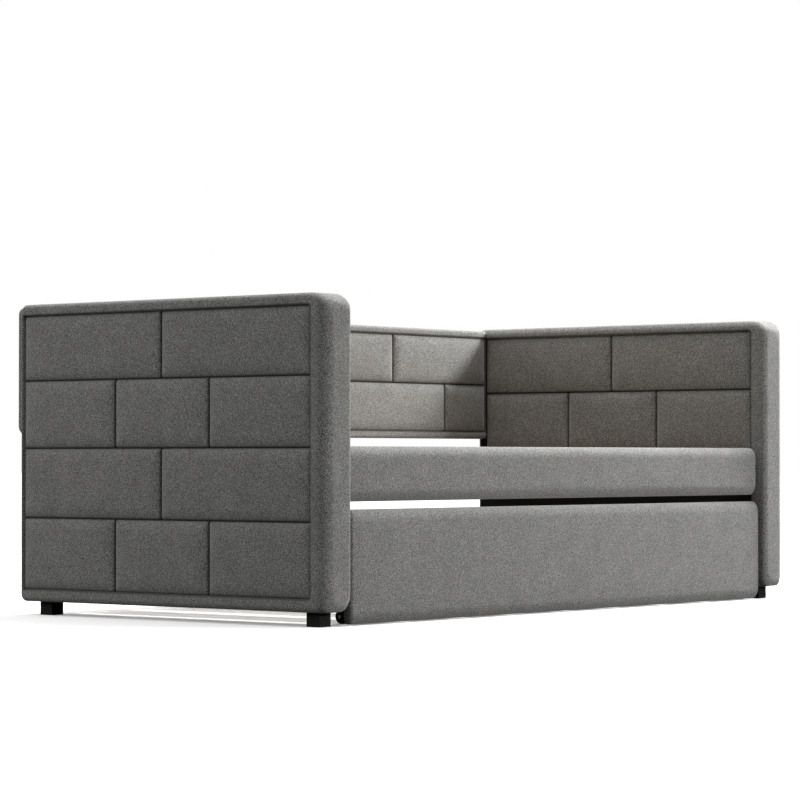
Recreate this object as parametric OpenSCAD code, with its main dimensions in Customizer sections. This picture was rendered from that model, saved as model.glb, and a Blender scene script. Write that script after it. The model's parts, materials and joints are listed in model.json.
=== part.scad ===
// Upholstered daybed with a pull-out trundle on casters.
// Origin: centre of the footprint on the floor. +X to the right seen from the front,
// +Y to the rear, +Z up. All lengths are in millimetres.

/* [Overall] */
// Length over the outer faces of the two arms
bed_l = 2135; // [2000:1:2300]
// Depth of each arm from front to rear
arm_d = 1076; // [1040:1:1150]
// Height of the arms and the back above the floor
bed_h = 831; // [800:1:900]
// Thickness of each upholstered arm
arm_t = 105; // [100:1:130]
// Height of the feet
foot_h = 38; // [30:1:50]
// Width of the square feet
foot_w = 43; // [36:1:55]
// Distance of a foot's centre from the arm's front or rear
foot_inset = 67; // [50:1:90]

/* [Upholstery] */
// Foam and fabric wrapped around the boards and frames
foam = 12; // [8:1:14]
// Thickness of the quilted panels on the arms
panel_t = 22; // [16:1:26]
// Side of the square that cuts a quilting seam
seam_w = 5; // [3:0.5:7]
// Border between the arm's top and the outer panel
border_top = 28; // [22:1:40]
// Border between the arm's bottom and the outer panel
border_bottom = 31; // [24:1:40]
// Border between the arm's front and the panels
border_front = 52; // [40:1:70]
// Border between the arm's rear and the outer panel
border_rear = 7; // [5:1:20]
// Each row of bricks on an arm is this much higher than the row above
row_growth = 1.031; // [1:0.001:1.1]
// Recess of the black lining from the arm's inner face
lining_recess = 8; // [2:1:10]

/* [Back] */
// Distance that the back panel reaches behind the arms
back_over = 26; // [24:1:34]
// Height of the back panel
back_h = 344; // [300:1:380]
// Inset of the back panel's ends from the arms' outer faces
back_inset = 15; // [5:1:30]
// Distance from the front of the back's border to the arms' rear
back_front = 28; // [24:1:34]
// Border above and below the back's quilted panel
back_border = 22; // [16:1:30]
// Length of a brick in the upper row of the back
upper_brick = 494; // [460:1:510]
// Length of a brick in the lower row of the back
lower_brick = 501.5; // [460:0.5:510]

/* [Rails and slats] */
// Height of the rails' lower edge above the floor
rail_z = 311; // [308:1:330]
// Height of the rails
rail_h = 140; // [120:1:150]
// Thickness of a rail with its upholstery
rail_t = 34; // [30:1:40]
// Distance of the front rail's face behind the arms' front
rail_setback = 28; // [20:1:40]
// Number of slats under the mattress
slat_count = 9; // [5:1:9]
// Width of a slat
slat_w = 80; // [50:1:90]
// Thickness of a slat
slat_t = 18; // [12:1:20]
// Section of the battens that carry the slats
batten = 28; // [20:1:30]

/* [Trundle] */
// Gap between the trundle's front and each arm
trundle_gap = 12.5; // [8:0.5:20]
// Distance of the trundle's front behind the arms' front
trundle_setback = 12; // [5:1:25]
// Lower edge of the trundle's front above the floor
trundle_z = 3; // [2:1:18]
// Height of the trundle's front
trundle_h = 289; // [260:1:295]
// Thickness of the trundle's front with its upholstery
trundle_t = 30; // [28:1:36]
// Depth of the trundle over all
trundle_d = 1009; // [900:1:1010]
// Thickness of the boards
board_t = 18; // [15:1:20]
// Lower edge of the trundle's boards above the floor
board_z = 45; // [42:1:60]
// Height of the trundle's side boards
side_h = 90; // [70:1:120]
// Number of slats in the trundle
trundle_slat_count = 8; // [5:1:8]

/* [Casters] */
// Radius of a caster wheel
wheel_r = 19; // [15:1:19]
// Width of a caster wheel
wheel_w = 20; // [14:1:24]
// Distance of the front casters from the centre line
front_caster_x = 880; // [860:1:885]
// Distance of the rear casters from the centre line
rear_caster_x = 440; // [300:1:700]
// Distance of the front casters behind the arms' front
front_caster_y = 101; // [90:1:160]
// Radius of a caster's axle
axle_r = 3; // [2:0.5:4]

/* [Hidden] */
$fn = 48;

y_front = -(arm_d + back_over) / 2;
y_rear = y_front + arm_d;
y_back = y_rear + back_over;
arm_x1 = bed_l / 2;
arm_x0 = arm_x1 - arm_t;
frame_x0 = arm_x0 + panel_t;
frame_x1 = arm_x1 - panel_t;
frame_wrap = 14;
post_w = 100;
frame_rail_h = 70;
middle_rail_z = 480;

panel_y0 = y_front + border_front;
panel_y1 = y_rear - border_rear;
panel_z0 = foot_h + border_bottom;
panel_z1 = bed_h - border_top;
row_series = 1 + row_growth + pow(row_growth, 2) + pow(row_growth, 3);
row_1 = (panel_z1 - panel_z0) / row_series;
row_2 = row_1 * row_growth;
row_3 = row_2 * row_growth;
seam_3 = panel_z1 - row_1;
seam_2 = seam_3 - row_2;
seam_1 = seam_2 - row_3;
arm_rows = [panel_z0, seam_1, seam_2, seam_3, panel_z1];
// Seams across a row of bricks, as shares of the panel's length
halves = [0.505];
thirds = [0.34, 0.667];

back_z0 = bed_h - back_h;
back_y0 = y_rear - back_front;
back_pad_y = back_y0 - 3;
back_board_y0 = back_y0 + foam;
back_wing_y0 = y_rear + 2;
back_board_y1 = y_back - 8;
back_x = arm_x1 - back_inset;
back_middle_x = arm_x0 - 0.5;
inner_panel_y1 = y_rear - 22;

rail_x = arm_x0 - 0.5;
rail_board_t = rail_t - foam;
front_rail_y = y_front + rail_setback + rail_t;
rear_rail_y = y_rear - rail_t;
batten_z = rail_z + foam;
slat_r = 3;
slat_z = batten_z + batten;

bracket_t = 5;
bracket_w = 50;
bracket_x1 = arm_x0 + lining_recess;
bracket_z = [batten_z + 1, slat_z + slat_t - 3];
bolt_z = [bracket_z[0] + 10, bracket_z[1] - 10];
bolt_r = 4;
bolt_l = 60;
bolt_head = [7.5, 5.3];
rail_screw_head = [6.5, 4];
bolt_fit = 0.05;
bolt_y = bracket_t + 27;
back_bolt_x = (arm_x0 + arm_x1) / 2;
back_bolt_z = [back_z0 + 75, bed_h - 75];
screw_x = bracket_x1 - 32;
rail_screw_l = 20;
stud_z = [foot_h - 20, foot_h + 60];

trundle_y0 = y_front + trundle_setback;
trundle_y1 = trundle_y0 + trundle_d;
trundle_board_y = trundle_y0 + trundle_t;
trundle_x = arm_x0 - trundle_gap;
side_x1 = trundle_x - 15;
side_x0 = side_x1 - board_t;
trundle_slat_z = board_z + side_h - slat_t;
back_board_y = trundle_y1 - board_t;

cheek_t = 2;
cheek_gap = 0.75;
plate_t = 2.5;
plate_w = 44;
plate_z = board_z - plate_t - 0.5;
upright_h = 40;
front_caster = [front_caster_x, y_front + front_caster_y];
rear_caster = [rear_caster_x, back_board_y - 25];
caster_screw_z = board_z + 24;
caster_screw_l = 14;
caster_screw_r = 2;
caster_screw_head = [4.5, 2];
cheek_r = 10;
rivet = 1.5;
tread_r = 4;
dish_r = [8, 14];
dish_depth = 2;

SIDES = ["left", "right"];
ENDS = ["front", "rear"];
CASTERS = [for (e = ENDS) for (s = SIDES) str(e, "_", s)];
ARM_PARTS = ["frame", "cover", "outer_panel", "inner_panel", "lining"];

// A box between two opposite corners
module block(lo, hi) {
    translate(lo) cube(hi - lo);
}

// The waste outside a quarter circle in the corner at the origin
module spandrel(r) {
    difference() {
        translate([-1, -1]) square(r + 1);
        translate([r, r]) circle(r);
    }
}

// A rectangle with a radius at each corner: lower left, lower right, upper right, upper left
module round_rect(w, h, radii) {
    corners = [[0, 0], [w, 0], [w, h], [0, h]];
    difference() {
        square([w, h]);
        for (i = [0 : 3]) translate(corners[i]) rotate(90 * i) spandrel(radii[i]);
    }
}

// A box with rounded edges: radii of its plan, of its side (Y and Z) and of its front (X and Z)
module soft_block(lo, hi, plan, side, front) {
    size = hi - lo;
    intersection() {
        translate(lo) linear_extrude(size.z) round_rect(size.x, size.y, plan);
        translate(lo) rotate([90, 0, 90]) linear_extrude(size.x) round_rect(size.y, size.z, side);
        translate([lo.x, hi.y, lo.z]) rotate([90, 0, 0])
            linear_extrude(size.y) round_rect(size.x, size.z, front);
    }
}

// A slab in the XY plane with its face up, and quilting seams along rows and between bricks
module quilted_slab(x0, x1, rows, seams, t) {
    difference() {
        block([x0, rows[0], 0], [x1, rows[len(rows) - 1], t]);
        for (i = [1 : len(rows) - 2]) seam([x0, rows[i]], [x1, rows[i]], t);
        for (i = [0 : len(seams) - 1], x = seams[i]) seam([x, rows[i]], [x, rows[i + 1]], t);
    }
}

// A V groove from one point to another on the face at height t
module seam(from, to, t) {
    run = to - from;
    translate([from.x, from.y, t]) rotate(atan2(run.y, run.x)) rotate([45, 0, 0])
        translate([0, -seam_w / 2, -seam_w / 2]) cube([norm(run), seam_w, seam_w]);
}

// Seams of an arm panel, one list per row from the bottom; y1 is the panel's rear edge
function arm_seams(rows, y1) = [
    for (i = [0 : rows - 1]) [
        for (share = (i + rows) % 2 == 0 ? thirds : halves)
            if (panel_y0 + share * (panel_y1 - panel_y0) < y1) panel_y0 + share * (panel_y1 - panel_y0)
    ]
];

// Places the right-hand part as it is, and mirrors it for the left
module on_side(name) {
    mirror([name == "left" ? 1 : 0, 0, 0]) children();
}

// Draws a right-hand part on both sides
module both_sides() {
    for (s = SIDES) on_side(s) children();
}

// Turns from a rail's own frame, whose inner face is at y = 0 and whose outside is towards -Y
module at_rail(name) {
    if (name == "front") translate([0, front_rail_y, 0]) children();
    else translate([0, rear_rail_y, 0]) mirror([0, 1, 0]) children();
}

// Puts a child, drawn along +Z from its seat, at each frame bolt on one side
module at_side_bolts() {
    for (e = ENDS, z = bolt_z)
        at_rail(e) translate([bracket_x1 - bracket_t, bolt_y, z]) rotate([0, 90, 0]) children();
    for (z = back_bolt_z) translate([back_bolt_x, back_board_y1, z]) rotate([90, 0, 0]) children();
}

// A hexagon bolt with its seat at z = 0 and its shank along +Z; head: its radius and height
module bolt(r, l, head) {
    translate([0, 0, -head[1]]) cylinder(r = head[0], h = head[1], $fn = 6);
    translate([0, 0, -head[1] / 2]) cylinder(r = r, h = l + head[1] / 2);
}

module bolt_hole() {
    translate([0, 0, -1]) cylinder(r = bolt_r + bolt_fit, h = bolt_l + 2);
}

module at_feet(e) {
    y = e == "front" ? y_front + foot_inset : y_rear - foot_inset;
    translate([back_bolt_x, y, 0]) children();
}

module stud_hole() {
    translate([0, 0, stud_z[0]]) cylinder(r = bolt_r + bolt_fit, h = stud_z[1] - stud_z[0] + 1);
}

// Timber frame inside the arm: two posts, top, middle and bottom rails
module arm_frame() {
    lo = [frame_x0, y_front + frame_wrap, foot_h + frame_wrap];
    hi = [frame_x1, y_rear - frame_wrap, bed_h - frame_wrap];
    color("burlywood") difference() {
        block(lo, hi);
        block([lo.x - 1, lo.y + post_w, lo.z + frame_rail_h], [hi.x + 1, hi.y - post_w, middle_rail_z]);
        block([lo.x - 1, lo.y + post_w, middle_rail_z + frame_rail_h],
              [hi.x + 1, hi.y - post_w, hi.z - frame_rail_h]);
        at_side_bolts() bolt_hole();
        for (e = ENDS) at_feet(e) stud_hole();
    }
}

// Foam and fabric around the arm's edges, open where the panels and the lining sit
module arm_cover() {
    color("gray") difference() {
        soft_block([arm_x0, y_front, foot_h], [arm_x1, y_rear, bed_h],
                   [15, 35, 6, 3], [22, 12, 12, 22], [30, 14, 14, 34]);
        block([frame_x0, y_front + frame_wrap, foot_h + frame_wrap],
              [frame_x1, y_rear - frame_wrap, bed_h - frame_wrap]);
        block([frame_x1, panel_y0, panel_z0], [arm_x1 + 1, panel_y1, panel_z1]);
        block([arm_x0 - 1, panel_y0, panel_z0], [frame_x0, y_rear + 1, panel_z1]);
        at_side_bolts() bolt_hole();
        for (e = ENDS) at_feet(e) stud_hole();
    }
}

module arm_outer_panel() {
    color("dimgray") translate([frame_x1, 0, 0]) rotate([90, 0, 90])
        quilted_slab(panel_y0, panel_y1, arm_rows, arm_seams(4, panel_y1), panel_t);
}

module arm_inner_panel() {
    rows = [for (i = [2 : 4]) arm_rows[i]];
    color("dimgray") translate([frame_x0, 0, 0]) mirror([1, 0, 0]) rotate([90, 0, 90])
        quilted_slab(panel_y0, inner_panel_y1, rows, arm_seams(2, inner_panel_y1), panel_t);
}

// Black cloth on a thin board below the inner panel and along the arm's rear edge
module arm_lining() {
    color("black") difference() {
        block([arm_x0 + lining_recess, panel_y0, panel_z0], [frame_x0, y_rear, panel_z1]);
        block([arm_x0, panel_y0 - 1, arm_rows[2]], [frame_x0 + 1, inner_panel_y1, panel_z1 + 1]);
        at_side_bolts() bolt_hole();
    }
}

module foot(e) {
    color("black") at_feet(e) difference() {
        translate([-foot_w / 2, -foot_w / 2, 0]) cube([foot_w, foot_w, foot_h]);
        stud_hole();
    }
}

module foot_studs() {
    color("silver") both_sides() for (e = ENDS)
        at_feet(e) translate([0, 0, stud_z[0]]) cylinder(r = bolt_r, h = stud_z[1] - stud_z[0]);
}

// The solid that the back's timber fills: thick between the arms, thin behind them
module back_timber() {
    z0 = back_z0 + foam;
    z1 = bed_h - foam;
    block([-back_middle_x + foam, back_board_y0, z0], [back_middle_x - foam, back_board_y1, z1]);
    block([-back_x + foam, back_wing_y0, z0], [back_x - foam, back_board_y1, z1]);
}

module back_frame() {
    window = (back_middle_x - foam - post_w * 1.5) / 2;
    color("burlywood") difference() {
        back_timber();
        for (x = [-1, 1]) translate([x * (window / 2 + post_w / 2), 0, back_z0 + back_h / 2])
            cube([window, bed_l, back_h - 2 * foam - 1.6 * frame_rail_h], center = true);
        both_sides() at_side_bolts() bolt_hole();
    }
}

// Foam and fabric around the back's edges and rear, open where the quilted panel sits
module back_cover() {
    pocket_z = [back_z0 + back_border, bed_h - back_border];
    color("gray") difference() {
        union() {
            soft_block([-back_middle_x, back_y0, back_z0], [back_middle_x, y_back, bed_h],
                       [1, 1, 1, 1], [6, 6, 6, 6], [1, 1, 1, 1]);
            soft_block([-back_x, y_rear + 0.5, back_z0], [back_x, y_back, bed_h],
                       [6, 6, 10, 10], [3, 10, 10, 3], [30, 30, 20, 20]);
        }
        back_timber();
        block([-back_middle_x - 1, back_y0 - 1, pocket_z[0]],
              [back_middle_x + 1, back_board_y0, pocket_z[1]]);
        both_sides() at_side_bolts() bolt_hole();
        both_sides() for (z = back_bolt_z)
            translate([back_bolt_x, back_board_y1, z]) rotate([-90, 0, 0]) cylinder(r = 9, h = 20);
    }
}

module back_panel() {
    rows = [back_z0 + back_border, bed_h - back_h / 2, bed_h - back_border];
    upper = [for (i = [-1 : 1]) i * upper_brick];
    lower = [for (i = [-1.5 : 1.5]) i * lower_brick];
    color("dimgray") translate([0, back_board_y0, 0]) rotate([90, 0, 0])
        quilted_slab(-back_middle_x, back_middle_x, rows, [lower, upper], back_board_y0 - back_pad_y);
}

module rail_board_solid() {
    x = rail_x - foam;
    block([-x, -rail_board_t, rail_z + foam], [x, 0, rail_z + rail_h - foam]);
}

module rail_board(e) {
    color("burlywood") at_rail(e) difference() {
        rail_board_solid();
        at_rail_screws() bolt_hole();
    }
}

module rail_cover(e) {
    color("gray") at_rail(e) difference() {
        soft_block([-rail_x, -rail_t, rail_z], [rail_x, 0, rail_z + rail_h],
                   [10, 10, 3, 3], [10, 4, 4, 10], [8, 8, 8, 8]);
        rail_board_solid();
    }
}

module ledger(e) {
    x = bracket_x1 - bracket_w - 6;
    color("tan") at_rail(e) block([-x, 0, batten_z], [x, batten, batten_z + batten]);
}

module at_rail_screws() {
    both_sides() for (z = bolt_z) translate([screw_x, bracket_t, z]) rotate([90, 0, 0]) children();
}

// Steel angles that hang the rails on the arms
module rail_brackets() {
    z0 = bracket_z[0];
    z1 = bracket_z[1];
    color("silver") difference() {
        both_sides() for (e = ENDS) at_rail(e) {
            block([bracket_x1 - bracket_w, 0, z0], [bracket_x1, bracket_t, z1]);
            block([bracket_x1 - bracket_t, 0, z0], [bracket_x1, bracket_w + 10, z1]);
        }
        both_sides() at_side_bolts() bolt_hole();
        for (e = ENDS) at_rail(e) at_rail_screws() bolt_hole();
    }
}

module frame_bolts() {
    color("silver") both_sides() at_side_bolts() bolt(bolt_r, bolt_l, bolt_head);
}

module rail_screws() {
    color("silver") for (e = ENDS) at_rail(e) at_rail_screws() bolt(bolt_r, rail_screw_l, rail_screw_head);
}

// Centre of slat i when n slats share a width
function slat_x(i, n, width) = (i - (n + 1) / 2) * width / n;

// A slat along Y with rounded long edges, from y0 to y1, whose underside is at z
module slat(x, y0, y1, z) {
    color("wheat") translate([x - slat_w / 2, y1, z]) rotate([90, 0, 0])
        linear_extrude(y1 - y0) round_rect(slat_w, slat_t, [slat_r, slat_r, slat_r, slat_r]);
}

module bed_slat(i) {
    slat(slat_x(i, slat_count, 2 * arm_x0), front_rail_y + 2, rear_rail_y - 2, slat_z);
}

module trundle_front_board() {
    color("burlywood")
        block([-trundle_x + foam, trundle_y0 + foam, trundle_z + foam],
              [trundle_x - foam, trundle_board_y, trundle_z + trundle_h - foam]);
}

module trundle_front_cover() {
    color("gray") difference() {
        soft_block([-trundle_x, trundle_y0, trundle_z],
                   [trundle_x, trundle_board_y, trundle_z + trundle_h],
                   [10, 10, 3, 3], [10, 4, 4, 10], [12, 12, 12, 12]);
        block([-trundle_x + foam, trundle_y0 + foam, trundle_z + foam],
              [trundle_x - foam, trundle_board_y + 1, trundle_z + trundle_h - foam]);
    }
}

module trundle_side() {
    color("burlywood") difference() {
        block([side_x0, trundle_board_y, board_z], [side_x1, back_board_y, board_z + side_h]);
        at_caster("front") caster_screw_holes("front");
    }
}

module trundle_back_board() {
    color("burlywood") difference() {
        block([-side_x1, back_board_y, board_z], [side_x1, trundle_y1, trundle_slat_z]);
        both_sides() at_caster("rear") caster_screw_holes("rear");
    }
}

module trundle_ledger() {
    color("tan") block([-side_x0, trundle_board_y, trundle_slat_z - batten],
                       [side_x0, trundle_board_y + batten, trundle_slat_z]);
}

module trundle_slat(i) {
    x = slat_x(i, trundle_slat_count, 2 * side_x0);
    slat(x, trundle_board_y + 1, trundle_y1, trundle_slat_z);
}

// Moves to a right-hand caster, with the axle's height left at z = 0 on the floor
module at_caster(e) {
    place = e == "front" ? front_caster : rear_caster;
    translate([place.x, place.y, 0]) children();
}

// Distance from the caster's centre to the board that it is screwed to
function caster_reach(e) = e == "front" ? side_x0 - front_caster.x : back_board_y - rear_caster.y;

// Turns the upright's own frame, whose face is towards +X, to the board at a caster
module to_board(e) {
    rotate(e == "front" ? 0 : 90) children();
}

module at_caster_screws(e) {
    to_board(e) for (y = [-12, 12])
        translate([caster_reach(e) - plate_t, y, caster_screw_z]) rotate([0, 90, 0]) children();
}

module caster_screw_holes(e) {
    at_caster_screws(e) cylinder(r = caster_screw_r + bolt_fit, h = caster_screw_l + 1);
}

// A fork for the wheel under a plate, and an upright that is screwed to the trundle's board
module caster_bracket(e) {
    reach = caster_reach(e);
    inside = wheel_w / 2 + cheek_gap;
    color("dimgray") at_caster(e) difference() {
        union() {
            to_board(e) block([-plate_w / 2, -plate_w / 2, plate_z],
                              [reach, plate_w / 2, plate_z + plate_t]);
            to_board(e) block([reach - plate_t, -plate_w / 2, plate_z],
                              [reach, plate_w / 2, plate_z + plate_t + upright_h]);
            for (x = [-inside - cheek_t, inside]) translate([x, 0, 0]) {
                translate([0, 0, wheel_r]) rotate([0, 90, 0]) cylinder(r = cheek_r, h = cheek_t);
                block([0, -cheek_r, wheel_r], [cheek_t, cheek_r, plate_z + plate_t / 2]);
            }
        }
        translate([-wheel_w, 0, wheel_r]) rotate([0, 90, 0])
            cylinder(r = axle_r + bolt_fit, h = 2 * wheel_w);
        caster_screw_holes(e);
    }
}

// A wheel with a rounded tread, dished faces and a bore for the axle
module caster_wheel(e) {
    half = wheel_w / 2;
    color("black") at_caster(e) translate([0, 0, wheel_r]) rotate([0, 90, 0])
        rotate_extrude() difference() {
            translate([0, -half]) round_rect(wheel_r, wheel_w, [0.01, tread_r, tread_r, 0.01]);
            translate([-1, -half - 1]) square([1 + axle_r + bolt_fit, wheel_w + 2]);
            for (y = [-half - 1, half - dish_depth])
                translate([dish_r[0], y]) square([dish_r[1] - dish_r[0], dish_depth + 1]);
        }
}

module caster_axles() {
    half = wheel_w / 2 + cheek_gap + cheek_t;
    color("silver") both_sides() for (e = ENDS)
        at_caster(e) translate([0, 0, wheel_r]) rotate([0, 90, 0]) {
            translate([0, 0, -half]) cylinder(r = axle_r, h = 2 * half);
            for (z = [-half - rivet, half])
                translate([0, 0, z]) cylinder(r = axle_r + rivet, h = rivet);
        }
}

module caster_screws() {
    color("silver") both_sides() for (e = ENDS)
        at_caster(e) at_caster_screws(e) bolt(caster_screw_r, caster_screw_l, caster_screw_head);
}

for (s = SIDES) {
    on_side(s) arm_frame();
    on_side(s) arm_cover();
    on_side(s) arm_outer_panel();
    on_side(s) arm_inner_panel();
    on_side(s) arm_lining();
    on_side(s) trundle_side();
}
for (e = ENDS, s = SIDES) {
    on_side(s) foot(e);
    on_side(s) caster_bracket(e);
    on_side(s) caster_wheel(e);
}
for (e = ENDS) {
    rail_board(e);
    rail_cover(e);
    ledger(e);
}
for (i = [1 : slat_count]) bed_slat(i);
for (i = [1 : trundle_slat_count]) trundle_slat(i);
foot_studs();
back_frame();
back_cover();
back_panel();
rail_brackets();
frame_bolts();
rail_screws();
trundle_front_board();
trundle_front_cover();
trundle_back_board();
trundle_ledger();
caster_axles();
caster_screws();
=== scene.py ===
import json
import math

import bmesh
import bpy
import numpy as np
from mathutils import Matrix, Vector


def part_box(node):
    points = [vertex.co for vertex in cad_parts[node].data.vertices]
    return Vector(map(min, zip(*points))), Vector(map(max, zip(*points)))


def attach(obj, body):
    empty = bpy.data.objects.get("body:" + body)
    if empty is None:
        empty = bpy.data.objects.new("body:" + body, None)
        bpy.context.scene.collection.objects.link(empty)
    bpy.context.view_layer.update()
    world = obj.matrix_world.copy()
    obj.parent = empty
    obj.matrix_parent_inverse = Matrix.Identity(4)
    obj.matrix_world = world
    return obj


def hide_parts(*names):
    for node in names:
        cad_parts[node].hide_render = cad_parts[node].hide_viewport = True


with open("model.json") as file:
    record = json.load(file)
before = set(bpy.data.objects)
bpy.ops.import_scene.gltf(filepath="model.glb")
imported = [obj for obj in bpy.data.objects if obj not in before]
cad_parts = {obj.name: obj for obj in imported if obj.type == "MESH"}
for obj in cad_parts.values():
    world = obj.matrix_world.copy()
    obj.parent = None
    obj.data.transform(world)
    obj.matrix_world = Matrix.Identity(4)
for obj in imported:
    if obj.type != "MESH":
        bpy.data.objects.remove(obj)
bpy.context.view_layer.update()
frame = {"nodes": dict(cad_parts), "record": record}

MM = 0.001
SIDES = {"left": -1, "right": 1}

# The camera of the product view: its place in metres, heading from +Y towards +X and upward tilt in degrees,
# and its lens in millimetres
CAMERA_PLACE = (-6.820, -5.434, 0.420)
CAMERA_HEADING = 51.07
CAMERA_TILT = 1.096
CAMERA_LENS = 137.4

# Quilted pads: the reach and the height of the roll at an edge, the crown with the reach over which it rises,
# and the corner radius
PAD_ROLL = 28 * MM
PAD_EDGE = 9 * MM
PAD_CROWN = 3 * MM
PAD_RISE = 3 * PAD_ROLL
PAD_CORNER = 7 * MM
# Seams between pads: the depth, half the width and the reach of the painted shade beside them
CREASE = 2.5 * MM
CREASE_HALF = 1.6 * MM
CREASE_SHADE = 3.2 * MM
# The border round a panel: the reach and the height of its rolled edge, then the depth of the pocket that the
# panel lies in, the run of the pocket's wall and the depth of the panel's rear side
BORDER_ROLL = 5 * MM
BORDER_EDGE = 4 * MM
POCKET = 18 * MM
POCKET_WALL = 2 * MM
SKIN = 20 * MM
# Further than any crease's painted shade, and past a pocket's open end
CLEAR = 1.0

# Shares of an arm's length at which the upright seams stand, in turn from the top row down
HALVES = (0.505,)
THIRDS = (0.34, 0.667)
# Rows on an arm's outer and inner side, and the height of each as a multiple of the row above it
ARM_ROWS = 4
INNER_ROWS = 2
ROW_GROWTH = 1.031
# Lengths of the whole bricks in the back's upper and lower row
UPPER_BRICK = 494 * MM
LOWER_BRICK = 501.5 * MM

# Lofted covers: points round a corner, along a level side and into the near and the far end, then the shares
# of the way to the middle at which an end's rings lie
CORNER_STEPS = 11
LEVEL_STEPS = 9
NEAR_STEPS = 12
FAR_STEPS = 9
CAP_SHARES = (0.12, 0.35, 0.65, 1.0)
# The share of a width that two corners take up at most, and how much the corners grow as the ends draw in
CORNER_LIMIT = 0.96
TIP_SWELL = 0.13
# The last stretch of an arm, where its corners grow, and how far its top edge droops there
TIP_REACH = 80 * MM
TIP_DROOP = 12 * MM
# Where the visual covers stand against the CAD ones: the back lower, the arms higher at the top and lower at
# the bottom
BACK_SAG = 4.5 * MM
ARM_RISE = 2.5 * MM
ARM_DROP = 1.5 * MM
# Corner radii of an arm (outer bottom, outer top, inner top, inner bottom) and the same at its front tip
ARM_RADII = [14 * MM, 15 * MM, 20 * MM, 30 * MM]
ARM_TIP_RADII = [20 * MM, (38 * MM, 22 * MM), (18 * MM, 18 * MM), 34 * MM]
# Radii by which the inner side, the outer side, the bottom and the top draw in at an arm's two ends
ARM_FRONT = [15 * MM, 33 * MM, 20 * MM, 38 * MM]
ARM_REAR = [3 * MM, 6 * MM, 12 * MM, 12 * MM]
# A board's cover: its roll in depth and height, the corners at its rear, its crown and how far round a roll
# the crown reaches, how far short of the CAD cover's rear it stops, and how its ends draw in
BOARD_ROLL = (18 * MM, 30 * MM)
BOARD_REAR = 3 * MM
BOARD_CROWN = 3 * MM
CROWN_REACH = 16 * MM
BOARD_GAP = 1.5 * MM
BOARD_ENDS = [9 * MM, 2 * MM, 14 * MM, 14 * MM]
# Shares of a board's height that get mesh lines, and how square its crown is in height and along its length
BOARD_MARKS = (0.3, 0.7)
CROWN_POWERS = (4, 24)
# The back: its border's face behind the panel's, the border's corners and ends, how far it reaches behind the
# arms, and the corners and ends of the rear cover with its gap to the arms
BACK_RECESS = 3 * MM
BACK_RADII = [2 * MM, 2 * MM, 9 * MM, 9 * MM]
BACK_ENDS = [1 * MM] * 4
BACK_REACH = 12 * MM
WING_RADII = [6 * MM, 6 * MM, 3 * MM, 3 * MM]
WING_ENDS = [3 * MM, 4 * MM, 24 * MM, 16 * MM]
WING_GAP = 0.5 * MM

# Mesh lines: their spacing at a mark, its growth from line to line, and the widest spacing
FINE = 1.2 * MM
GROWTH = 1.35
COARSE = 13 * MM
# Points closer than this are merged
MERGE = 0.05 * MM
# What counts as lying on a side, what as lying near it, and how far the arm's rear end is left unmarked
ON_SIDE = 0.3 * MM
NEAR_SIDE = 16 * MM
REAR_END = 8 * MM

# Simulated cloth: the size of a cell, the steps, the reach of the pins from a seam, the percentile of the
# heights that counts as a full crown, and how strongly higher crowns are flattened
CLOTH_CELL = 9 * MM
CLOTH_STEPS = 18
CLOTH_PIN = 0.1 * MM
CLOTH_TOP = 80
CLOTH_FLATTEN = 1.2
CLOTH_SETTINGS = {"quality": 6, "mass": 0.3, "tension_stiffness": 25, "compression_stiffness": 25,
                  "shear_stiffness": 8, "bending_stiffness": 6, "air_damping": 4, "use_pressure": True,
                  "uniform_pressure_force": 6}

# Textures, in waves per metre
FLECK_WAVES = 430
THREAD_WAVES = 1100
CLOUD_WAVES = 16
WEB_WAVES = 900
FIBRE_WAVES = 700
WEAR_WAVES = 60
# How a texture is turned so that no flat face lies along its grid, and a wood texture's scale along the grain
NOISE_TURN = (0.55, 0.35, 0.8)
GRAIN_STRETCH = 0.06
# How far wear makes a coating's roughness differ from its mean, and the specular level of metal and of others
WEAR_SPREAD = 0.08
METAL_SPECULAR = 0.5
DULL_SPECULAR = 0.08

# Eased edges of the timber, the feet and the brackets
TIMBER_EDGE = 1.5 * MM
FOOT_EDGE = 1.2 * MM
BRACKET_EDGE = 0.4 * MM

# The floor: half its side and the distances between which it fades to white, in metres, and its glow near the
# bed as a share of the glow far from it
FLOOR_HALF = 60
FLOOR_FADE = (1.6, 5.0)
FLOOR_GLOW = 0.3
# The strength of the world's light at the horizon and overhead
WORLD_LIGHT = (0.04, 1.36)
# The lights: place, target and diameter in metres, and power in watts
LIGHTS = {
    "key": ((2.14, -6.14, 1.88), (0, 0, 0.5), 0.5, 266),
    "right": ((3.4, -1.0, 2.9), (0, 0, 0.5), 1.2, 228),
    "left_fill": ((-4.2, 3.0, 1.7), (0, 0, 0.6), 1.6, 65),
    "top": ((0.95, 0.4, 5.0), (0.95, 0.4, 0), 1.2, 262),
}


# ---------------------------------------------------------------- meshes

def spaced(start, end):
    """Positions from start to end, FINE apart at both ends and growing to COARSE between them."""
    half = (end - start) / 2
    step, steps = FINE, [min(FINE, half)]
    while sum(steps) + step <= half:
        step = min(step * GROWTH, COARSE)
        steps.append(step)
    near = start + np.concatenate([[0], np.cumsum(steps)]) * half / sum(steps)
    return np.concatenate([near, (start + end - near[::-1])[1:]])


def lines(marks):
    """Positions through all marks, close together near each. Marks that aren't between the first and the last
    are left out."""
    marks = [marks[0]] + [m for m in marks[1:-1] if marks[0] + FINE < m < marks[-1] - FINE] + [marks[-1]]
    parts = [spaced(a, b) for a, b in zip(marks, marks[1:])]
    return np.concatenate([parts[0]] + [p[1:] for p in parts[1:]])


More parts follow.
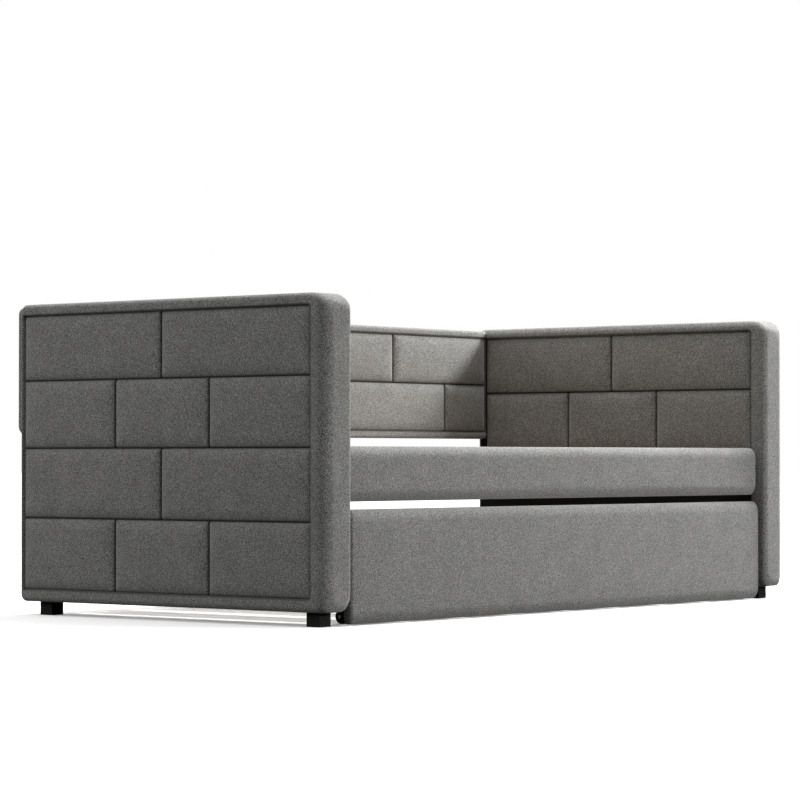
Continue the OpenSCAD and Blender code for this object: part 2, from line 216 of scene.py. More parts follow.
def make_object(name, points, faces):
    """A smooth-shaded closed mesh with its normals outwards, as an object in the scene."""
    mesh = bpy.data.meshes.new(name)
    mesh.from_pydata([tuple(p) for p in points], [], [tuple(f) for f in faces])
    work = bmesh.new()
    work.from_mesh(mesh)
    bmesh.ops.remove_doubles(work, verts=work.verts, dist=MERGE)
    bmesh.ops.recalc_face_normals(work, faces=work.faces)
    work.to_mesh(mesh)
    work.free()
    mesh.polygons.foreach_set("use_smooth", [True] * len(mesh.polygons))
    piece = bpy.data.objects.new(name, mesh)
    bpy.context.scene.collection.objects.link(piece)
    return piece


def grid_faces(rows, columns, closed):
    """Quads over a grid of points in row order; closed joins the last column to the first."""
    faces = []
    for r in range(rows - 1):
        for c in range(columns if closed else columns - 1):
            d = (c + 1) % columns
            faces.append((r * columns + c, r * columns + d, (r + 1) * columns + d, (r + 1) * columns + c))
    return faces


def inset(radius, depth):
    """How far a rounded edge has drawn in at a depth from the end that it rounds."""
    if depth >= radius:
        return 0.0
    return radius - math.sqrt(radius ** 2 - (radius - depth) ** 2)


def ring(lo, hi, radii, b_share, a_share):
    """A rounded rectangle's outline in (a, b). radii are the (a, b) radii of the corners (a+, b-), (a+, b+),
    (a-, b+) and (a-, b-). b_share and a_share place the points along the sides, from 0 to 1."""
    (a0, b0), (a1, b1) = lo, hi
    low_fit = min(1, CORNER_LIMIT * (a1 - a0) / (radii[0][0] + radii[3][0]))
    high_fit = min(1, CORNER_LIMIT * (a1 - a0) / (radii[1][0] + radii[2][0]))
    fits = (low_fit, high_fit, high_fit, low_fit)
    (p0, q0), (p1, q1), (p2, q2), (p3, q3) = [(p * fit, q * fit) for (p, q), fit in zip(radii, fits)]
    turn = np.linspace(0, math.pi / 2, CORNER_STEPS)
    sine, cosine = np.sin(turn), np.cos(turn)
    parts = [
        np.column_stack([np.full_like(b_share, a1), b0 + q0 + b_share * (b1 - b0 - q0 - q1)]),
        np.column_stack([a1 - p1 + p1 * cosine, b1 - q1 + q1 * sine])[1:],
        np.column_stack([a1 - p1 - a_share * (a1 - a0 - p1 - p2), np.full_like(a_share, b1)])[1:],
        np.column_stack([a0 + p2 - p2 * sine, b1 - q2 + q2 * cosine])[1:],
        np.column_stack([np.full_like(b_share, a0), b1 - q2 - b_share * (b1 - b0 - q2 - q3)])[1:],
        np.column_stack([a0 + p3 - p3 * cosine, b0 + q3 - q3 * sine])[1:],
        np.column_stack([a0 + p3 + a_share * (a1 - a0 - p3 - p0), np.full_like(a_share, b0)])[1:],
        np.column_stack([a1 - p0 + p0 * sine, b0 + q0 - q0 * cosine])[1:-1],
    ]
    return np.concatenate(parts)


def loft(name, order, lo, hi, radii, near_end, far_end, b_marks, c_marks, shape=None, tip=None):
    """A soft block: a rounded rectangle in (a, b) carried along c, with rounded ends.
    order names the axes that stand for a, b and c. near_end and far_end are the radii by which the sides
    a-, a+, b-, b+ draw in at the ends of c. b_marks and c_marks get mesh lines of their own. shape moves the
    points. tip holds the radii that the corners grow to over the TIP_REACH before the near end."""
    (a0, b0, c0), (a1, b1, c1) = lo, hi
    radii, tip = [[q if isinstance(q, tuple) else (q, q) for q in corners]
                  for corners in (radii, tip or radii)]
    b_lines = lines([b0 + radii[0][1]] + list(b_marks) + [b1 - radii[1][1]])
    b_share = (b_lines - b_lines[0]) / (b_lines[-1] - b_lines[0])
    a_share = np.linspace(0, 1, LEVEL_STEPS)
    depth_near = max(near_end) * (1 - np.cos(np.linspace(0, math.pi / 2, NEAR_STEPS)))
    depth_far = max(far_end) * (1 - np.cos(np.linspace(0, math.pi / 2, FAR_STEPS)))
    middle = lines([c0 + max(near_end)] + list(c_marks) + [c1 - max(far_end)])
    stations = np.concatenate([c0 + depth_near[:-1], middle, (c1 - depth_far[:-1])[::-1]])
    rings = []
    for c in stations:
        d = [max(inset(n, c - c0), inset(f, c1 - c)) for n, f in zip(near_end, far_end)]
        swell = TIP_SWELL * sum(d)
        grow = max(0, 1 - (c - c0) / TIP_REACH) ** 2
        corners = [(p + grow * (u - p) + swell, q + grow * (v - q) + swell)
                   for (p, q), (u, v) in zip(radii, tip)]
        outline = ring((a0 + d[0], b0 + d[2]), (a1 - d[1], b1 - d[3]), corners, b_share, a_share)
        rings.append(np.column_stack([outline, np.full(len(outline), c)]))
    points = np.array(rings)
    if shape is not None:
        points = shape(points)
    first, last = points[0], points[-1]
    half = (a1 - a0) / 2
    core = [np.column_stack([np.full(len(r), (a0 + a1) / 2),
                             np.clip(r[:, 1], b0 + half, b1 - half), r[:, 2]]) for r in (first, last)]
    before = [first + (core[0] - first) * s for s in CAP_SHARES][::-1]
    after = [last + (core[1] - last) * s for s in CAP_SHARES]
    points = np.array(before + list(points) + after)
    rows, columns, axes = points.shape
    flat = points.reshape(-1, axes)[:, [order.index(axis) for axis in "xyz"]]
    return make_object(name, flat, grid_faces(rows, columns, True))


# ---------------------------------------------------------------- quilting

def brick_rows(u0, u1, edges, seams):
    """The bricks as (u0, u1, v0, v1), from the heights of the rows' edges and the seams within each row."""
    bricks = []
    for (v0, v1), row in zip(zip(edges, edges[1:]), seams):
        ends = [u0] + list(row) + [u1]
        bricks += [(a, b, v0, v1) for a, b in zip(ends, ends[1:])]
    return bricks


def seam_marks(bricks):
    """Where the bricks' edges stand along u and along v."""
    return [sorted({round(q, 6) for b in bricks for q in b[i:i + 2]}) for i in (0, 2)]


def inside_depth(u, v, brick, corner):
    """Depth of each point inside a brick with round corners, and negative outside it."""
    u0, u1, v0, v1 = brick
    du = np.abs(u - (u0 + u1) / 2) - (u1 - u0) / 2 + corner
    dv = np.abs(v - (v0 + v1) / 2) - (v1 - v0) / 2 + corner
    outside = np.hypot(np.maximum(du, 0), np.maximum(dv, 0))
    return corner - outside - np.minimum(np.maximum(du, dv), 0)


def pad_depth(bricks, u, v):
    """Depth of each point inside the brick that it lies in."""
    return np.max([inside_depth(u, v, b, PAD_CORNER) for b in bricks], axis=0)


def roll(depth, reach, height):
    """A quarter-round edge: nothing at depth 0, height from depth reach on."""
    t = np.clip(depth / reach, 0, 1)
    return height * np.sqrt(1 - (1 - t) ** 2)


def pocket_sink(depth):
    """How far a side sinks at a depth inside its pocket. Its rolled edge lies at negative depths."""
    drop = np.clip(depth / POCKET_WALL, 0, 1)
    edge = BORDER_EDGE - roll(-depth, BORDER_ROLL, BORDER_EDGE)
    return edge + (POCKET - BORDER_EDGE) * drop * drop * (3 - 2 * drop)


def blown_cloth(bricks):
    """Inflates a flat cloth that is held along every seam. Returns its lines, and its heights as shares of a
    full crown: 1 at the percentile CLOTH_TOP, and up to a fifth more at the highest points."""
    us, vs = seam_marks(bricks)

    def even(marks):
        counts = [max(2, round((b - a) / CLOTH_CELL)) for a, b in zip(marks, marks[1:])]
        parts = [np.linspace(a, b, n + 1)[1:] for a, b, n in zip(marks, marks[1:], counts)]
        return np.concatenate([[marks[0]]] + parts)

    u, v = even(us), even(vs)
    gu, gv = np.meshgrid(u, v)
    held = np.full(gu.shape, True)
    for b in bricks:
        held &= ~(inside_depth(gu, gv, b, 0) > CLOTH_PIN)
    mesh = bpy.data.meshes.new("cloth")
    flat = np.column_stack([gu.ravel(), gv.ravel(), np.zeros(gu.size)])
    mesh.from_pydata([tuple(p) for p in flat], [], grid_faces(len(v), len(u), False))
    cloth = bpy.data.objects.new("cloth", mesh)
    bpy.context.scene.collection.objects.link(cloth)
    pins = cloth.vertex_groups.new(name="pins")
    pins.add([int(i) for i in np.flatnonzero(held.ravel())], 1.0, "REPLACE")
    modifier = cloth.modifiers.new("cloth", "CLOTH")
    for setting, value in CLOTH_SETTINGS.items():
        setattr(modifier.settings, setting, value)
    modifier.settings.vertex_group_mass = "pins"
    modifier.settings.effector_weights.gravity = 0
    modifier.collision_settings.use_collision = False
    modifier.point_cache.frame_end = CLOTH_STEPS
    scene = bpy.context.scene
    for number in range(1, CLOTH_STEPS + 1):
        scene.frame_set(number)
    blown = cloth.evaluated_get(bpy.context.evaluated_depsgraph_get()).to_mesh()
    points = np.array([p.co[2] for p in blown.vertices])
    bpy.data.objects.remove(cloth)
    scene.frame_set(1)
    height = np.abs(points.reshape(gu.shape))
    top = np.percentile(height, CLOTH_TOP)
    return u, v, np.tanh(CLOTH_FLATTEN * height / top) / math.tanh(CLOTH_FLATTEN)


def sample(table, u, v):
    """Reads a table of (lines, lines, heights) at any points."""
    us, vs, heights = table
    iu = np.clip(np.searchsorted(us, u) - 1, 0, len(us) - 2)
    iv = np.clip(np.searchsorted(vs, v) - 1, 0, len(vs) - 2)
    tu = np.clip((u - us[iu]) / (us[iu + 1] - us[iu]), 0, 1)
    tv = np.clip((v - vs[iv]) / (vs[iv + 1] - vs[iv]), 0, 1)
    low = heights[iv, iu] * (1 - tu) + heights[iv, iu + 1] * tu
    high = heights[iv + 1, iu] * (1 - tu) + heights[iv + 1, iu + 1] * tu
    return low * (1 - tv) + high * tv


def quilted_panel(name, bricks, table, place):
    """A quilted skin over its bricks, closed at the back. place maps (u, v, height) to the shared frame,
    where height 0 is a full crown and the seams lie below it."""
    gu, gv = np.meshgrid(*[lines(marks) for marks in seam_marks(bricks)])
    depth = pad_depth(bricks, gu, gv) - CREASE_HALF
    height = roll(depth, PAD_ROLL, PAD_EDGE)
    height += PAD_CROWN * sample(table, gu, gv) * roll(depth, PAD_RISE, 1)
    height -= PAD_EDGE + PAD_CROWN + CREASE * (depth < 0)
    rows, columns = gu.shape
    front = place(gu.ravel(), gv.ravel(), height.ravel())
    index = np.arange(rows * columns).reshape(rows, columns)
    edge = np.concatenate([index[0, :-1], index[:-1, -1], index[-1, :0:-1], index[:0:-1, 0]])
    back = place(gu.ravel()[edge], gv.ravel()[edge], np.full(len(edge), -SKIN))
    start, count = rows * columns, len(edge)
    skirt = [(edge[i], start + i, start + (i + 1) % count, edge[(i + 1) % count]) for i in range(count)]
    faces = grid_faces(rows, columns, False) + skirt + [tuple(range(start, start + count))[::-1]]
    return make_object(name, np.concatenate([front, back]), faces)


def paint_seam_shade(piece, depth_at):
    """Paints shade along the seams: marks how near each point is to a seam, and the fabric's colour is
    darkened there as painted shade. depth_at takes x, y and z, and gives the distance from the nearest seam."""
    points = np.empty(len(piece.data.vertices) * 3)
    piece.data.vertices.foreach_get("co", points)
    depth = np.maximum(depth_at(*points.reshape(-1, 3).T), 0)
    marks = piece.data.attributes.new("painted_seam_shade", "FLOAT", "POINT")
    marks.data.foreach_set("value", np.exp(-(depth / CREASE_SHADE) ** 2))


# ---------------------------------------------------------------- materials

def node_material(name):
    """An empty node material, as (material, nodes, links, shader, texture coordinates)."""
    material = bpy.data.materials.new(name)
    material.use_nodes = True
    nodes, links = material.node_tree.nodes, material.node_tree.links
    shader = nodes["Principled BSDF"]
    coordinate = nodes.new("ShaderNodeTexCoord")
    return material, nodes, links, shader, coordinate


def noise(nodes, links, coordinate, scale, detail, stretch=(1, 1, 1), turn=NOISE_TURN):
    """A noise in the piece's own frame, with scale in waves per metre."""
    mapping = nodes.new("ShaderNodeMapping")
    mapping.inputs["Scale"].default_value = stretch
    mapping.inputs["Rotation"].default_value = turn
    links.new(coordinate.outputs["Object"], mapping.inputs["Vector"])
    texture = nodes.new("ShaderNodeTexNoise")
    texture.inputs["Scale"].default_value = scale
    texture.inputs["Detail"].default_value = detail
    links.new(mapping.outputs["Vector"], texture.inputs["Vector"])
    return texture.outputs["Fac"]


def ramp(nodes, links, value, stops):
    """Colours a value by (position, colour) stops."""
    node = nodes.new("ShaderNodeValToRGB")
    elements = node.color_ramp.elements
    for element, (position, colour) in zip(elements, (stops[0], stops[-1])):
        element.position, element.color = position, (*colour, 1)
    for position, colour in stops[1:-1]:
        elements.new(position).color = (*colour, 1)
    links.new(value, node.inputs["Fac"])
    return node.outputs["Color"]


def mix(nodes, links, kind, share, a, b):
    """Blends colour b over colour a."""
    node = nodes.new("ShaderNodeMix")
    node.data_type = "RGBA"
    node.blend_type = kind
    node.inputs["Factor"].default_value = share
    links.new(a, node.inputs["A"])
    links.new(b, node.inputs["B"])
    return node.outputs["Result"]


def bump(nodes, links, shader, heights):
    """Chains bumps of (value, depth in metres) into the shader's normal."""
    last = None
    for value, distance in heights:
        node = nodes.new("ShaderNodeBump")
        node.inputs["Strength"].default_value = 1.0
        node.inputs["Distance"].default_value = distance
        links.new(value, node.inputs["Height"])
        if last is not None:
            links.new(last, node.inputs["Normal"])
        last = node.outputs["Normal"]
    links.new(last, shader.inputs["Normal"])


def grey_fabric():
    """Speckled woven upholstery, with painted shade that darkens it along the seams marked on its pieces."""
    material, nodes, links, shader, coordinate = node_material("grey_fabric")
    fleck = noise(nodes, links, coordinate, FLECK_WAVES, 2)
    thread = noise(nodes, links, coordinate, THREAD_WAVES, 2)
    cloud = noise(nodes, links, coordinate, CLOUD_WAVES, 3)
    colour = ramp(nodes, links, fleck, [(0.36, (0.066, 0.065, 0.062)), (0.5, (0.166, 0.164, 0.157)),
                                        (0.64, (0.350, 0.346, 0.332))])
    weave = ramp(nodes, links, thread, [(0.35, (0.62, 0.62, 0.62)), (0.65, (1.0, 1.0, 1.0))])
    # A random mottle of the fabric's own tone in patches, the same under any lamp
    shade = ramp(nodes, links, cloud, [(0.3, (0.86, 0.86, 0.85)), (0.7, (1.0, 1.0, 1.0))])
    colour = mix(nodes, links, "MULTIPLY", 0.75, colour, weave)
    colour = mix(nodes, links, "MULTIPLY", 1.0, colour, shade)
    # Painted shade: the seam mark darkens the fabric's colour to near black at the seams and pocket edges
    painted_seam_shade = nodes.new("ShaderNodeAttribute")
    painted_seam_shade.attribute_name = "painted_seam_shade"
    dark = ramp(nodes, links, painted_seam_shade.outputs["Fac"], [(0.0, (1, 1, 1)), (1.0, (0.06, 0.06, 0.06))])
    colour = mix(nodes, links, "MULTIPLY", 1.0, colour, dark)
    links.new(colour, shader.inputs["Base Color"])
    shader.inputs["Roughness"].default_value = 0.92
    shader.inputs["Specular IOR Level"].default_value = 0.15
    shader.inputs["Sheen Weight"].default_value = 0.35
    shader.inputs["Sheen Roughness"].default_value = 0.5
    shader.inputs["Sheen Tint"].default_value = (0.9, 0.9, 0.88, 1)
    bump(nodes, links, shader, [(cloud, 0.6 * MM), (fleck, 0.5 * MM), (thread, 0.25 * MM)])
    return material


def black_lining():
    """Thin black web."""
    material, nodes, links, shader, coordinate = node_material("black_lining")
    web = noise(nodes, links, coordinate, WEB_WAVES, 4)
    colour = ramp(nodes, links, web, [(0.3, (0.004, 0.004, 0.004)), (0.7, (0.016, 0.016, 0.017))])
    links.new(colour, shader.inputs["Base Color"])
    shader.inputs["Roughness"].default_value = 0.95
    shader.inputs["Specular IOR Level"].default_value = 0.1
    bump(nodes, links, shader, [(web, 0.15 * MM)])
    return material


def timber(name, dark, light, along, rings):
    """Planed wood with its grain along one axis, and rings as waves per metre across it."""
    material, nodes, links, shader, coordinate = node_material(name)
    stretch = [GRAIN_STRETCH if axis == along else 1 for axis in "xyz"]
    grain = noise(nodes, links, coordinate, rings, 5, stretch, (0, 0, 0))
    fibre = noise(nodes, links, coordinate, FIBRE_WAVES, 3, stretch, (0, 0, 0))
    between = tuple((a + b) / 2 for a, b in zip(dark, light))
    colour = ramp(nodes, links, grain, [(0.32, dark), (0.5, between), (0.68, light)])
    streak = ramp(nodes, links, fibre, [(0.3, (0.82, 0.80, 0.76)), (0.7, (1, 1, 1))])
    links.new(mix(nodes, links, "MULTIPLY", 0.8, colour, streak), shader.inputs["Base Color"])
    shader.inputs["Roughness"].default_value = 0.6
    shader.inputs["Specular IOR Level"].default_value = 0.35
    bump(nodes, links, shader, [(fibre, 0.12 * MM)])
    return material


def coated(name, dark, light, roughness, metallic, scale, depth):
    """Painted, plated or moulded surface with a fine texture of the given waves per metre and depth."""
    material, nodes, links, shader, coordinate = node_material(name)
    grain = noise(nodes, links, coordinate, scale, 3)
    wear = noise(nodes, links, coordinate, WEAR_WAVES, 4)
    links.new(ramp(nodes, links, wear, [(0.3, dark), (0.7, light)]), shader.inputs["Base Color"])
    rough = nodes.new("ShaderNodeMapRange")
    rough.inputs["To Min"].default_value = roughness - WEAR_SPREAD
    rough.inputs["To Max"].default_value = roughness + WEAR_SPREAD
    links.new(wear, rough.inputs["Value"])
    links.new(rough.outputs["Result"], shader.inputs["Roughness"])
    shader.inputs["Metallic"].default_value = metallic
    shader.inputs["Specular IOR Level"].default_value = METAL_SPECULAR if metallic else DULL_SPECULAR
    bump(nodes, links, shader, [(grain, depth)])
    return material


# Timbers: dark and light colour, the axis of the grain, and its rings in waves per metre
TIMBERS = {
    "plywood": ((0.36, 0.22, 0.11), (0.56, 0.38, 0.21), "x", 40),
    "plywood_y": ((0.36, 0.22, 0.11), (0.56, 0.38, 0.21), "y", 40),
    "pine": ((0.34, 0.26, 0.17), (0.52, 0.42, 0.30), "y", 90),
    "pine_x": ((0.34, 0.26, 0.17), (0.52, 0.42, 0.30), "x", 90),
}
# Coatings: dark and light colour, roughness, metallic share, and the texture's waves per metre and depth
COATINGS = {
    "black_foot": ((0.006, 0.006, 0.006), (0.012, 0.012, 0.012), 0.5, 0.0, 900, 0.05 * MM),
    "black_steel": ((0.012, 0.012, 0.013), (0.022, 0.022, 0.023), 0.45, 0.0, 1500, 0.06 * MM),
    "zinc_steel": ((0.45, 0.46, 0.47), (0.62, 0.63, 0.64), 0.35, 1.0, 600, 0.02 * MM),
    "black_wheel": ((0.008, 0.008, 0.008), (0.016, 0.016, 0.016), 0.4, 0.0, 1200, 0.04 * MM),
}

MATERIALS = {"grey_fabric": grey_fabric(), "black_lining": black_lining()}
MATERIALS.update({name: timber(name, *values) for name, values in TIMBERS.items()})
MATERIALS.update({name: coated(name, *values) for name, values in COATINGS.items()})


def finish_piece(piece, material, body, slot, *nodes):
    """Gives a made piece its material and body, and hides the CAD nodes that it stands for. slot is not used.
    """
    piece.data.materials.append(MATERIALS[material])
    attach(piece, body)
    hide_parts(*nodes)


# ---------------------------------------------------------------- arms

def mirrored(place, sign):
    """place for the right-hand side, mirrored in x for the left."""
    def placed(u, v, height):
        points = place(u, v, height)
        points[:, 0] *= sign
        return points
    return placed


def arm_edges():
    """The heights of the seams between the arm's rows, from the bottom up."""
    low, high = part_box("right_arm_outer_panel")
    top_row = (high.z - low.z) / sum(ROW_GROWTH ** i for i in range(ARM_ROWS))
    rows = [top_row * ROW_GROWTH ** i for i in range(ARM_ROWS)]
    return [high.z - sum(rows[:i]) for i in range(ARM_ROWS, 0, -1)] + [high.z]


def arm_seams(u0, u1, count):
    """The upright seams of the top count rows, from the bottom up."""
    seams = [[u0 + s * (u1 - u0) for s in (HALVES if i % 2 == 0 else THIRDS)] for i in range(count)]
    return seams[::-1]


def make_arms():
    """Each arm's cover, with its outer and its inner quilted panel."""
    low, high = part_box("right_arm_cover")
    outer_low, outer_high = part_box("right_arm_outer_panel")
    inner_low, inner_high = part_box("right_arm_inner_panel")
    edges = arm_edges()
    outer = brick_rows(outer_low.y, outer_high.y, edges, arm_seams(outer_low.y, outer_high.y, ARM_ROWS))
    inner_edges = [inner_low.z] + edges[ARM_ROWS - INNER_ROWS + 1:]
    inner = brick_rows(inner_low.y, inner_high.y, inner_edges,
                       arm_seams(outer_low.y, outer_high.y, INNER_ROWS))
    outer_table, inner_table = blown_cloth(outer), blown_cloth(inner)

    def outer_place(u, v, height):
        return np.column_stack([high.x + height, u, v])

    def inner_place(u, v, height):
        return np.column_stack([low.x - height, u, v])

    pocket_outer = (outer_low.y, outer_high.y, outer_low.z, outer_high.z)
    pocket_inner = (outer_low.y, high.y + CLEAR, outer_low.z, outer_high.z)

    def shape(points):
        """Sinks the sides into pockets for the panels, rolls the edge round each and lowers the front tip."""
        for pocket, side, sign in ((pocket_outer, high.x, -1), (pocket_inner, low.x, 1)):
            on_side = np.abs(points[:, :, 0] - side) < ON_SIDE
            depth = inside_depth(points[:, :, 2], points[:, :, 1], pocket, PAD_CORNER)
            points[:, :, 0] += np.where(on_side, sign * pocket_sink(depth), 0)
        near = np.clip(1 - (points[:, :, 2] - low.y) / TIP_REACH, 0, 1)
        upper = np.clip((points[:, :, 1] - outer_high.z) / (high.z - outer_high.z), 0, 1)
        points[:, :, 1] -= TIP_DROOP * near ** 3 * upper
        return points

    def border_depth(x, y, z):
        """Distance of a point near the arm's sides from the pocket's edge, and CLEAR elsewhere."""
        x = np.abs(x)
        forward = y < high.y - REAR_END
        at_outer, at_inner = forward & (high.x - x < NEAR_SIDE), forward & (x - low.x < NEAR_SIDE)
        outer_depth = np.where(at_outer, -inside_depth(y, z, pocket_outer, PAD_CORNER), CLEAR)
        inner_depth = np.where(at_inner, -inside_depth(y, z, pocket_inner, PAD_CORNER), CLEAR)
        return np.minimum(outer_depth, inner_depth)

    for side, sign in SIDES.items():
        panel = quilted_panel(f"{side}_arm_outer_quilt", outer, outer_table, mirrored(outer_place, sign))
        # Painted shade darkens each panel's fabric along the seams between its pads
        paint_seam_shade(panel, lambda x, y, z: pad_depth(outer, y, z))
        finish_piece(panel, "grey_fabric", "daybed", "grey_fabric", f"{side}_arm_outer_panel")
        panel = quilted_panel(f"{side}_arm_inner_quilt", inner, inner_table, mirrored(inner_place, sign))
        paint_seam_shade(panel, lambda x, y, z: pad_depth(inner, y, z))
        finish_piece(panel, "grey_fabric", "daybed", "grey_fabric", f"{side}_arm_inner_panel")
        cover = loft(f"{side}_arm_upholstery", "xzy", (low.x, low.z - ARM_DROP, low.y),
                     (high.x, high.z + ARM_RISE, high.y), ARM_RADII, ARM_FRONT, ARM_REAR,
                     [outer_low.z, inner_low.z, outer_high.z], [outer_low.y, outer_high.y], shape,
                     ARM_TIP_RADII)
        # Painted shade darkens the cover's fabric round the edges of its pockets
        paint_seam_shade(cover, border_depth)
        if sign < 0:
            cover.data.transform(Matrix.Diagonal((-1, 1, 1, 1)))
            cover.data.flip_normals()
        finish_piece(cover, "grey_fabric", "daybed", "grey_fabric", f"{side}_arm_cover")


# ---------------------------------------------------------------- back

def make_back():
    """The back's border with its quilted panel, and the rear cover behind the arms."""
    cover_low, cover_high = (corner - Vector((0, 0, BACK_SAG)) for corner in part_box("back_cover"))
    low, high = (corner - Vector((0, 0, BACK_SAG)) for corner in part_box("back_panel"))
    arms_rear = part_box("right_arm_cover")[1].y
    front = low.y + BACK_RECESS
    middle = (cover_low.z + cover_high.z) / 2
    upper = [i * UPPER_BRICK for i in (-1, 0, 1)]
    lower = [i * LOWER_BRICK for i in (-1.5, -0.5, 0.5, 1.5)]
    bricks = brick_rows(low.x, high.x, [low.z, middle, high.z], [lower, upper])

    def place(u, v, height):
        return np.column_stack([u, low.y - height, v])

    panel = quilted_panel("back_quilt", bricks, blown_cloth(bricks), place)
    # Painted shade darkens the panel's fabric along the seams between its pads
    paint_seam_shade(panel, lambda x, y, z: pad_depth(bricks, x, z))
    finish_piece(panel, "grey_fabric", "daybed", "grey_fabric", "back_panel")

    def shape(points):
        """Sinks the front of the back into a pocket for the quilted panel."""
        pocket = (low.x - CLEAR, high.x + CLEAR, low.z, high.z)
        on_side = np.abs(points[:, :, 0] - front) < ON_SIDE
        depth = inside_depth(points[:, :, 2], points[:, :, 1], pocket, 1 * MM)
        points[:, :, 0] += np.where(on_side, pocket_sink(depth), 0)
        return points

    block = loft("back_border", "yzx", (front, cover_low.z, low.x),
                 (arms_rear + BACK_REACH, cover_high.z, high.x),
                 BACK_RADII, BACK_ENDS, BACK_ENDS, [low.z, high.z], [], shape)
    half = (high.z - low.z) / 2
    # Painted shade darkens the border's fabric along the pocket's upper and lower edges
    paint_seam_shade(block, lambda x, y, z: np.where(y < front + NEAR_SIDE, np.abs(z - middle) - half, CLEAR))
    finish_piece(block, "grey_fabric", "daybed", "grey_fabric", "back_cover")
    wing = loft("back_rear_cover", "yzx", (arms_rear + WING_GAP, cover_low.z, cover_low.x),
                (cover_high.y, cover_high.z, cover_high.x), WING_RADII, WING_ENDS, WING_ENDS, [middle], [])
    finish_piece(wing, "grey_fabric", "daybed", "grey_fabric", "back_cover")


# ---------------------------------------------------------------- rails and trundle front

def crowned(face, b0, b1, c0, c1):
    """Puffs the side at a = face outwards, falling off towards its edges and round its rolls."""
    def shape(points):
        near = np.clip(1 - (points[:, :, 0] - face) / CROWN_REACH, 0, 1)
        b = 1 - np.abs(2 * (points[:, :, 1] - b0) / (b1 - b0) - 1) ** CROWN_POWERS[0]
        c = 1 - np.abs(2 * (points[:, :, 2] - c0) / (c1 - c0) - 1) ** CROWN_POWERS[1]
        points[:, :, 0] -= BOARD_CROWN * near * np.clip(b, 0, 1) * np.clip(c, 0, 1)
        return points
    return shape


def make_board_cover(name, node, body, turned=False):
    """A padded board's cover, which leaves the board's rear face bare. It faces -Y, and +Y when turned."""
    low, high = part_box(node)
    face, height = low.y + BOARD_CROWN, high.z - low.z
    cover = loft(name, "yzx", (face, low.z, low.x), (high.y - BOARD_GAP, high.z, high.x),
                 [BOARD_REAR, BOARD_REAR, BOARD_ROLL, BOARD_ROLL], BOARD_ENDS, BOARD_ENDS,
                 [low.z + share * height for share in BOARD_MARKS], [],
                 crowned(face, low.z, high.z, low.x, high.x))
    if turned:
        cover.data.transform(Matrix.Translation((0, low.y + high.y, 0)) @ Matrix.Diagonal((1, -1, 1, 1)))
        cover.data.flip_normals()
    finish_piece(cover, "grey_fabric", body, "grey_fabric", node)


# ---------------------------------------------------------------- CAD nodes that stay

def round_edges(node, width):
    """Bevels a CAD node's sharp edges."""
    modifier = frame["nodes"][node].modifiers.new("edges", "BEVEL")
    modifier.width = width
    modifier.segments = 2
    modifier.limit_method = "ANGLE"
    modifier.angle_limit = math.radians(50)


def finish_nodes():
    """Materials for the CAD nodes, with eased edges on the timber, the feet and the brackets."""
    slots = {part["node"]: part["material_slot"] for part in frame["record"]["subparts"]}
    for name, node in frame["nodes"].items():
        material = slots[name]
        if name in ("trundle_left_side", "trundle_right_side"):
            material = "plywood_y"
        if name.endswith("ledger"):
            material = "pine_x"
        node.data.materials.clear()
        node.data.materials.append(MATERIALS[material])
        if name.endswith(("board", "ledger", "side")) or "slat" in name:
            round_edges(name, TIMBER_EDGE)
        if name.endswith("foot"):
            round_edges(name, FOOT_EDGE)
        if name.startswith(("rail_brackets", "caster_bracket")):
            round_edges(name, BRACKET_EDGE)


# ---------------------------------------------------------------- studio

def floor_material():
    """To the camera, pale near the bed, with a faint glow that lightens the bed's shadow on it as painted
    light, and white far from it. To other rays, dark, so that little light bounces off it onto the bed."""
    material, nodes, links, shader, coordinate = node_material("floor")
    shader.inputs["Roughness"].default_value = 0.9
    shader.inputs["Specular IOR Level"].default_value = 0.1
    distance = nodes.new("ShaderNodeVectorMath")
    distance.operation = "LENGTH"
    links.new(coordinate.outputs["Object"], distance.inputs[0])
    fade = nodes.new("ShaderNodeMapRange")
    fade.interpolation_type = "SMOOTHSTEP"
    fade.inputs["From Min"].default_value, fade.inputs["From Max"].default_value = FLOOR_FADE
    fade.inputs["To Min"].default_value = FLOOR_GLOW
    links.new(distance.outputs["Value"], fade.inputs["Value"])
    path = nodes.new("ShaderNodeLightPath")
    glow = nodes.new("ShaderNodeMath")
    glow.operation = "MULTIPLY"
    links.new(fade.outputs["Result"], glow.inputs[0])
    links.new(path.outputs["Is Camera Ray"], glow.inputs[1])
    links.new(glow.outputs["Value"], shader.inputs["Emission Strength"])
    shader.inputs["Emission Color"].default_value = (0.7, 0.7, 0.7, 1)
    seen = ramp(nodes, links, path.outputs["Is Camera Ray"],
                [(0.0, (0.08, 0.08, 0.08)), (1.0, (0.92, 0.92, 0.915))])
    links.new(seen, shader.inputs["Base Color"])
    return material


def make_floor():
    """A plain square floor round the bed."""
    mesh = bpy.data.meshes.new("floor")
    corners = [(-1, -1), (1, -1), (1, 1), (-1, 1)]
    mesh.from_pydata([(x * FLOOR_HALF, y * FLOOR_HALF, 0) for x, y in corners], [], [(0, 1, 2, 3)])
    floor = bpy.data.objects.new("floor", mesh)
    bpy.context.scene.collection.objects.link(floor)
    mesh.materials.append(floor_material())


def area_light(name, place, target, size, power):
    """A round soft light that faces its target."""
    light = bpy.data.lights.new(name, "AREA")
    light.shape = "DISK"
    light.size = size
    light.energy = power
    lamp = bpy.data.objects.new(name, light)
    lamp.location = place
    lamp.rotation_euler = (Vector(target) - Vector(place)).to_track_quat("-Z", "Y").to_euler()
    bpy.context.scene.collection.objects.link(lamp)


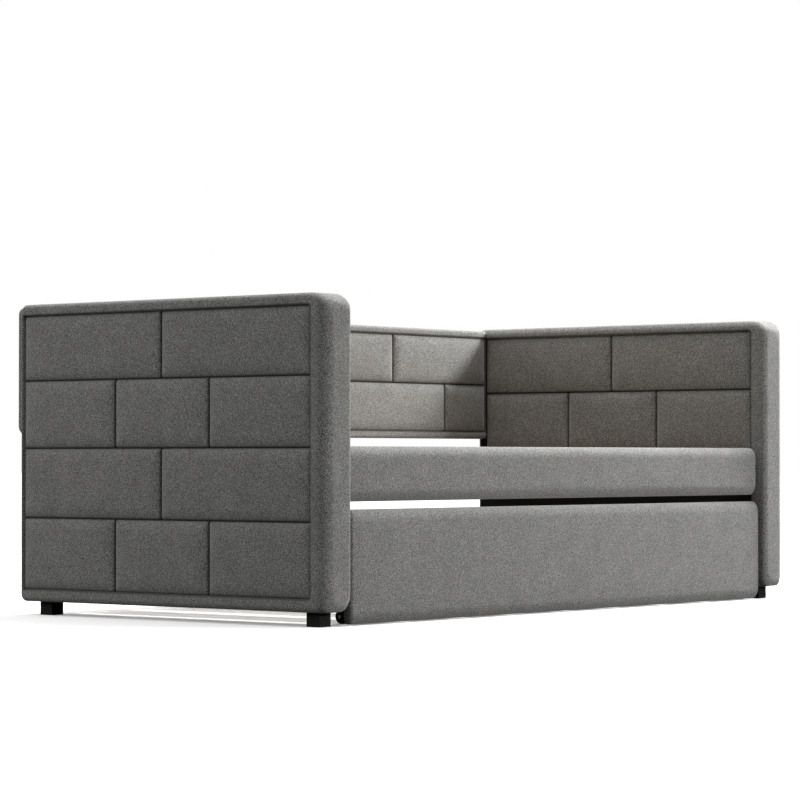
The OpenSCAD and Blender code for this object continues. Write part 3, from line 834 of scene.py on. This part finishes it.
def make_world():
    """White to the camera, and a light that grows from the horizon to overhead to other rays."""
    world = bpy.data.worlds.new("studio")
    bpy.context.scene.world = world
    world.use_nodes = True
    nodes, links = world.node_tree.nodes, world.node_tree.links
    light = nodes["Background"]
    light.inputs["Color"].default_value = (1, 1, 1, 1)
    direction = nodes.new("ShaderNodeTexCoord")
    axes = nodes.new("ShaderNodeSeparateXYZ")
    links.new(direction.outputs["Generated"], axes.inputs["Vector"])
    strength = nodes.new("ShaderNodeMapRange")
    strength.inputs["To Min"].default_value, strength.inputs["To Max"].default_value = WORLD_LIGHT
    links.new(axes.outputs["Z"], strength.inputs["Value"])
    links.new(strength.outputs["Result"], light.inputs["Strength"])
    seen = nodes.new("ShaderNodeBackground")
    seen.inputs["Strength"].default_value = 1.0
    seen.inputs["Color"].default_value = (1, 1, 1, 1)
    path = nodes.new("ShaderNodeLightPath")
    either = nodes.new("ShaderNodeMixShader")
    links.new(path.outputs["Is Camera Ray"], either.inputs["Fac"])
    links.new(light.outputs["Background"], either.inputs[1])
    links.new(seen.outputs["Background"], either.inputs[2])
    links.new(either.outputs["Shader"], nodes["World Output"].inputs["Surface"])


def make_camera():
    """The camera at the product view's place and angle."""
    data = bpy.data.cameras.new("camera")
    data.sensor_width = 36
    data.lens = CAMERA_LENS
    camera = bpy.data.objects.new("camera", data)
    camera.location = CAMERA_PLACE
    camera.rotation_euler = (math.radians(90 + CAMERA_TILT), 0, -math.radians(CAMERA_HEADING))
    bpy.context.scene.collection.objects.link(camera)
    bpy.context.scene.camera = camera


def make_studio():
    """Camera, floor, world and lights."""
    bpy.context.scene.view_settings.view_transform = "Standard"
    make_camera()
    make_floor()
    make_world()
    for name, values in LIGHTS.items():
        area_light(name, *values)


make_studio()
finish_nodes()
make_arms()
make_back()
make_board_cover("front_rail_upholstery", "front_rail_cover", "daybed")
make_board_cover("rear_rail_upholstery", "rear_rail_cover", "daybed", turned=True)
make_board_cover("trundle_front_upholstery", "trundle_front_cover", "trundle")
